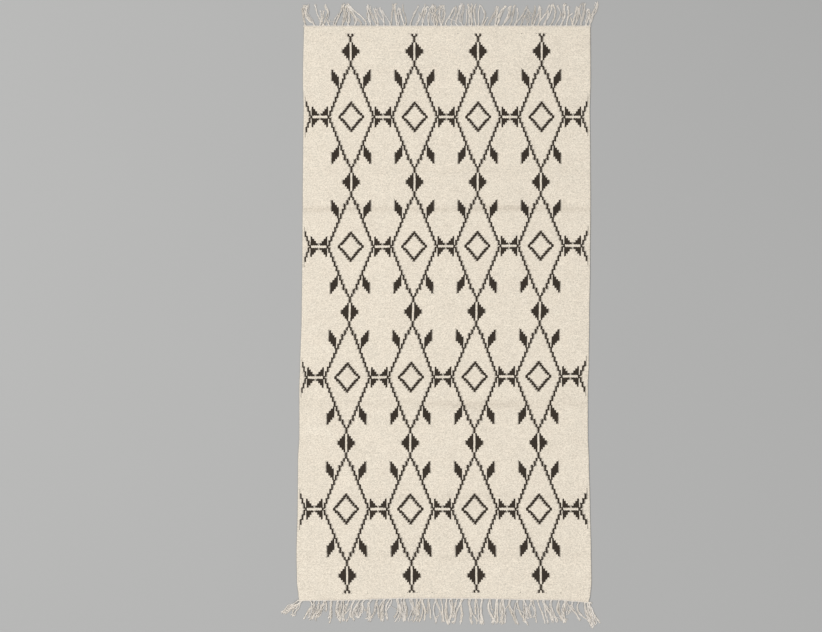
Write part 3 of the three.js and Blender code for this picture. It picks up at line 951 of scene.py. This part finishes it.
def weave_cloth(settings):
    """The woven cloth as one closed shell, with the chart on its faces."""
    columns, rows = stations(COLUMNS, 2), stations(ROWS, 1)
    x, y = chart_to_cloth(columns, rows)
    wide, tall = len(columns), len(rows)
    chance = np.random.default_rng(5)
    inner = np.zeros((tall, wide), bool)
    inner[5:-5, 5:-5] = True
    waver = settings.waver / MM
    x = x + inner * chance.normal(0, waver, x.shape)
    y = y + inner * chance.normal(0, waver, x.shape)
    column_in = np.minimum(columns, COLUMNS - columns) * COLUMN_WIDTH
    row_in = np.minimum(rows, ROWS - rows) * ROW_HEIGHT
    edge = np.minimum(column_in[None, :], row_in[:, None])
    rim = settings.rim / MM
    round_off = np.sqrt(1 - (1 - np.clip(edge / rim, 0, 1)) ** 2)
    thick = settings.thickness / MM
    crease = crease_depth(x, y)
    top = thick - settings.crease * crease + FACE_SWELL * gentle_swell(x, y)
    low = UNDER_GAP + UNDER_SWELL * gentle_swell(y, x)
    middle = (top + low) / 2
    shift = cloth_shift()
    layers = []
    for surface in (top, low):
        z = middle + (surface - middle) * round_off
        layers.append(np.stack([x * MM, y * MM, z * MM], -1).reshape(-1, 3) + shift)
    index = np.arange(tall * wide).reshape(tall, wide)
    under = index + tall * wide
    on_edge = edge <= 0
    under[on_edge] = index[on_edge]
    kept = np.concatenate([np.ones(tall * wide, bool), ~on_edge.ravel()])
    number = np.cumsum(kept) - 1
    points = np.concatenate(layers)[kept]
    faces = []
    for i in range(tall - 1):
        for j in range(wide - 1):
            ring = ((i, j), (i + 1, j), (i + 1, j + 1), (i, j + 1))
            faces.append([int(number[index[p]]) for p in ring])
            faces.append([int(number[under[p]]) for p in reversed(ring)])
    cloth = new_mesh_object("woven_cloth", points, faces)
    grid_u, grid_v = np.meshgrid(columns, rows)
    stitches = np.stack([grid_u, grid_v], -1).reshape(-1, 2)
    set_uv(cloth.data, "Stitch", np.concatenate([stitches, stitches])[kept])
    # The fold depth is also kept as the crease attribute, which paints shade into the colour along the fold
    # lines, half as strong underneath.
    deep = np.clip(crease.ravel(), 0, 1)
    set_attribute(cloth.data, "crease", np.concatenate([deep, deep * 0.5])[kept])
    worn = rubbed_share(x, y).ravel()
    set_attribute(cloth.data, "rubbed", np.concatenate([worn, worn * 0])[kept])
    return cloth


def sweep(paths, name):
    """Round yarns along paths in metres, each with its radii, sides, tone and twist pitch, as one mesh."""
    points, faces, places, tones = [], [], [], []
    for path, radius, sides, tone, pitch in paths:
        first = sum(len(p) for p in points)
        steps = len(path)
        run = np.gradient(path, axis=0)
        run /= np.linalg.norm(run, axis=1)[:, None]
        side = np.cross(run, [0.0, 0.0, 1.0])
        side /= np.maximum(np.linalg.norm(side, axis=1), 1e-9)[:, None]
        up = np.cross(side, run)
        angle = np.arange(sides) / sides * 2 * math.pi
        ring = side[:, None] * np.cos(angle)[None, :, None] + up[:, None] * np.sin(angle)[None, :, None]
        body = path[:, None] + ring * np.broadcast_to(radius, (steps,))[:, None, None]
        points.append(body.reshape(-1, 3))
        points.append(path[[0, -1]])
        length = np.concatenate([[0], np.cumsum(np.linalg.norm(np.diff(path, axis=0), axis=1))]) / pitch
        around = np.abs(np.arange(sides) / sides * 2 - 1)
        places.append(np.stack(np.meshgrid(around, length), -1).reshape(-1, 2))
        places.append(np.array([[0.5, 0], [0.5, length[-1]]]))
        tones.append(np.full(steps * sides + 2, tone))
        for i in range(steps - 1):
            for j in range(sides):
                a, b = first + i * sides + j, first + i * sides + (j + 1) % sides
                faces.append([a, b, b + sides, a + sides])
        start, end = first + steps * sides, first + steps * sides + 1
        last = first + (steps - 1) * sides
        for j in range(sides):
            faces.append([start, first + (j + 1) % sides, first + j])
            faces.append([end, last + j, last + (j + 1) % sides])
    made = new_mesh_object(name, np.concatenate(points), faces)
    set_uv(made.data, "Yarn", np.concatenate(places))
    set_attribute(made.data, "yarn_tone", np.concatenate(tones))
    return made


def bezier(points, steps):
    """A cubic curve through four control points, and its share from 0 to 1."""
    t = np.linspace(0, 1, steps)[:, None]
    a, b, c, d = (np.array(p, float) for p in points)
    return (1 - t) ** 3 * a + 3 * (1 - t) ** 2 * t * b + 3 * (1 - t) * t**2 * c + t**3 * d


def wave(chance, out, size, length):
    """An uneven wave along a yarn."""
    first, second = chance.uniform(0, 2 * math.pi, 2)
    stretch = chance.uniform(0.8, 1.3)
    broad = np.sin(out / length * stretch * 6.28 + first)
    return size * (broad + 0.6 * np.sin(out / length * 12.1 + second)) / 1.3


def lock_yarns(settings, chance, lock):
    """Paths of the yarns of one lock: from the cloth's edge through the tied neck to their tips."""
    *bends, reach, half, count = lock
    line = np.polyfit(LOCKS_OUT, bends, 4)
    yarns = []
    for k in range(count + 1):
        fine = k == count
        radius = (settings.ply if fine else settings.yarn) / MM / 2 * chance.uniform(0.85, 1.15)
        end = reach * (chance.uniform(0.7, 1.0) if fine else chance.uniform(0.94, 1.02))
        out = np.linspace(-1.5, end, 28 if fine else 36)
        at_root = 1 - smooth_step(0.5, NECK_START, out)
        splayed = smooth_step(NECK_END, SPLAY_END, out)
        tied = 1 - at_root - splayed
        place = (k % count - (count - 1) / 2) / max((count - 1) / 2, 1)
        turn = 2 * math.pi * (k / count + out / NECK_PITCH)
        gone = np.clip((out - NECK_END) / (end - NECK_END), 0, 1)
        bulge = 0.75 + 0.25 * np.sin(math.pi * gone)
        fan = (place + chance.normal(0, 0.3)) * half * bulge
        curl = min(settings.curl / MM, 0.5 + 0.4 * half) * (1.5 if fine else 1.0)
        fan = fan + gone**0.6 * (wave(chance, out, curl, 30) + wave(chance, out, curl * 0.5, 12))
        curled = chance.uniform(0, 1.5 + half) * (chance.random() < 0.6) * chance.choice([-1, 1])
        hook = smooth_step(0.84, 1.0, gone) * curled
        sideways = at_root * place * ROOT_WIDTH / 2 + tied * NECK_RADIUS * np.cos(turn) + splayed * fan + hook
        slope = np.polyval(np.polyder(line), out)
        square = 1 / np.sqrt(1 + slope**2)
        x = np.polyval(line, out) + sideways * square
        along = out - splayed * (sideways * slope * square + 0.7 * np.abs(hook))
        lift = chance.uniform(0.2, 2.6) if fine else chance.uniform(0, 2.2)
        ride = lift * np.sin(math.pi * np.clip(gone * 1.08, 0, 1)) * (0.7 + 0.3 * np.sin(out / 6 + k))
        thick = radius * (1 + 0.2 * tied + 0.3 * smooth_step(0.84, 0.95, gone))
        thick = thick * (1 - 0.45 * smooth_step(0.97, 1.0, gone))
        neck = NECK_HEIGHT + NECK_RADIUS * np.sin(turn)
        z = at_root * ROOT_HEIGHT + tied * neck + splayed * (radius + 0.08 + ride)
        yarns.append((x, along, np.maximum(z, thick + 0.05), thick, 5 if fine else 6, chance.uniform(0, 1)))
    return yarns


def fringe_paths(settings, end):
    """All yarns of one fringe, in metres in the part's frame."""
    out_way, first, last, edge, locks, loose, seed = ENDS[end]
    chance = np.random.default_rng(seed)
    shift = cloth_shift()
    local = []
    for lock in locks:
        local += [(*yarn, lock[0]) for yarn in lock_yarns(settings, chance, lock)]
    for x0, out0, x1, out1, bow in loose:
        third = (out1 - out0) / 3
        axis = bezier(((x0, out0), (x0 + bow, out0 + third), (x1 + bow, out1 - third), (x1, out1)), 26)
        x = axis[:, 0] + wave(chance, axis[:, 1], 0.8, 18)
        z = 2.2 + 0.8 * np.sin(np.linspace(0, math.pi, 26))
        local.append((x, axis[:, 1], z, 0.6, 5, chance.uniform(0.4, 1), x0))
    local += twined_row(first, last)
    paths = []
    for x, out, z, radius, sides, tone, root in local:
        y = read_table(edge, np.full_like(x, root) if np.isscalar(root) else root, 1) + out_way * out
        path = np.stack([x * MM, y * MM, z * MM], -1) + shift
        paths.append((path, np.asarray(radius) * MM, sides, tone, TWIST_PITCH * MM))
    return paths


def twined_row(first, last):
    """Two strands twisted round each other along the cloth's end, where the warps leave it."""
    x = np.arange(first - 6, last + 6.1, 1.5)
    rows = []
    for phase in (0, math.pi):
        turn = x / TWINE_PITCH * 2 * math.pi + phase
        out = TWINE_OUT + 0.55 * np.cos(turn)
        rows.append((x, out, TWINE_HEIGHT + 0.6 * np.sin(turn), TWINE_RADIUS, 6, 0.5, x))
    return rows


def finish_piece(piece, material, node):
    """Gives a piece its material and its body, and hides the CAD node that it stands for."""
    piece.data.materials.append(material)
    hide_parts(node)
    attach(piece, "root")


class DHURRIE_OT_cloth(bpy.types.Operator):
    """Weaves the cloth with its stepped lozenge lattice"""

    bl_idname = "dhurrie.cloth"
    bl_label = "Weave the cloth"

    def execute(self, context):
        settings = context.scene.dhurrie_cloth
        finish_piece(weave_cloth(settings), woven_cotton(settings), "rug_cloth")
        return {"FINISHED"}


class DHURRIE_OT_fringes(bpy.types.Operator):
    """Ties the warp ends into a fringe at each end of the cloth"""

    bl_idname = "dhurrie.fringes"
    bl_label = "Tie the fringes"

    def execute(self, context):
        settings = context.scene.dhurrie_fringe
        material = fringe_cotton(settings)
        for end in ENDS:
            piece = sweep(fringe_paths(settings, end), f"fringe_yarns_{end}")
            finish_piece(piece, material, f"fringe_{end}")
        return {"FINISHED"}


class DHURRIE_OT_stage(bpy.types.Operator):
    """Lays a pale floor, hangs soft lights and sets the camera"""

    bl_idname = "dhurrie.stage"
    bl_label = "Set the stage"

    def execute(self, context):
        settings = context.scene.dhurrie_stage
        corners = np.array([[-1, -1, 0], [1, -1, 0], [1, 1, 0], [-1, 1, 0]], float) * FLOOR_REACH
        floor = new_mesh_object("floor", corners, [[0, 1, 2, 3]])
        material, tree, shader = start_material("pale_floor", 0.8, 0.0)
        cloud = noise(tree, add_node(tree, "ShaderNodeTexCoord").outputs["Object"], 3.0, 3.0)
        shade = mix_colour(tree, 1.0, full(settings.floor), (0.985, 0.985, 0.985, 1), "MULTIPLY")
        feed(tree, shader.inputs["Base Color"], mix_colour(tree, cloud, full(settings.floor), shade))
        floor.data.materials.append(material)
        world = bpy.data.worlds.new("even_light")
        world.use_nodes = True
        world.node_tree.nodes["Background"].inputs["Color"].default_value = (1, 1, 1, 1)
        world.node_tree.nodes["Background"].inputs["Strength"].default_value = settings.fill
        context.scene.world = world
        for name, place, share, size in LAMPS:
            lamp = bpy.data.lights.new(name, "AREA")
            lamp.energy = settings.key * share
            lamp.shape = "DISK"
            lamp.size = size
            hung = bpy.data.objects.new(name, lamp)
            hung.location = place
            hung.rotation_euler = (-hung.location).to_track_quat("-Z", "Y").to_euler()
            context.scene.collection.objects.link(hung)
        camera = bpy.data.objects.new("camera", bpy.data.cameras.new("camera"))
        camera.data.lens = settings.lens
        camera.data.sensor_width = CAMERA_SENSOR
        shift = cloth_shift()
        low, up = math.cos(settings.elevation), math.sin(settings.elevation)
        target = np.array(CAMERA_TARGET) * MM + shift
        camera.location = target + np.array([0, -low, up]) * settings.distance
        camera.rotation_euler = (math.pi / 2 - settings.elevation, 0, 0)
        context.scene.collection.objects.link(camera)
        context.scene.camera = camera
        context.scene.view_settings.view_transform = "Standard"
        return {"FINISHED"}


class DHURRIE_PT_panel(bpy.types.Panel):
    """Sizes and colours of the rug, with a button for each piece"""

    bl_idname = "DHURRIE_PT_panel"
    bl_label = "Dhurrie rug"
    bl_space_type = "VIEW_3D"
    bl_region_type = "UI"
    bl_category = "Dhurrie"

    def draw(self, context):
        for group, operator in PARTS:
            settings = getattr(context.scene, group)
            box = self.layout.box()
            for name in settings.__annotations__:
                box.prop(settings, name)
            box.operator(operator)


PARTS = [
    ("dhurrie_stage", "dhurrie.stage"),
    ("dhurrie_cloth", "dhurrie.cloth"),
    ("dhurrie_fringe", "dhurrie.fringes"),
]
GROUPS = {"dhurrie_cloth": ClothSettings, "dhurrie_fringe": FringeSettings, "dhurrie_stage": StageSettings}
CLASSES = [*GROUPS.values(), DHURRIE_OT_cloth, DHURRIE_OT_fringes, DHURRIE_OT_stage, DHURRIE_PT_panel]


def register():
    """Adds the classes and gives each scene its settings."""
    for each in CLASSES:
        bpy.utils.register_class(each)
    for name, group in GROUPS.items():
        setattr(bpy.types.Scene, name, bpy.props.PointerProperty(type=group))


def unregister():
    """Takes the settings and the classes away again."""
    for name in GROUPS:
        delattr(bpy.types.Scene, name)
    for each in reversed(CLASSES):
        bpy.utils.unregister_class(each)


def main():
    """Builds the stage and every piece."""
    register()
    bpy.ops.dhurrie.stage()
    bpy.ops.dhurrie.cloth()
    bpy.ops.dhurrie.fringes()


if __name__ == "__main__":
    main()
